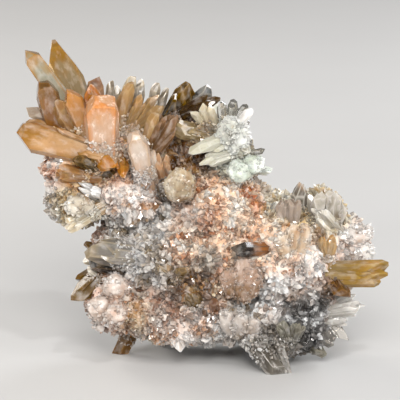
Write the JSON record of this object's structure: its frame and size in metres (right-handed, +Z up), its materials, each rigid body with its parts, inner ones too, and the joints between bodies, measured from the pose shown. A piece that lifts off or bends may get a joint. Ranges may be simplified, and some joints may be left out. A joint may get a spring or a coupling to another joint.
{
  "type": "creedite cluster",
  "caption": "Natural cluster of intergrown creedite crystals: a fan of tall blades at one end of a massive druse that stands on its own broken crystal ends.",
  "frame": {"origin": "middle of the footprint box, on the surface that the cluster stands on", "axes": "+X along the length, away from the fan of tall blades; -Y out of the show side; +Z up"},
  "size_m": [0.1099, 0.0572, 0.096],
  "materials": {
    "creedite": "vitreous and translucent, from colourless and white through peach to golden orange"
  },
  "bodies": {
    "root": {"creedite_cluster": "creedite"}
  },
  "joints": []
}
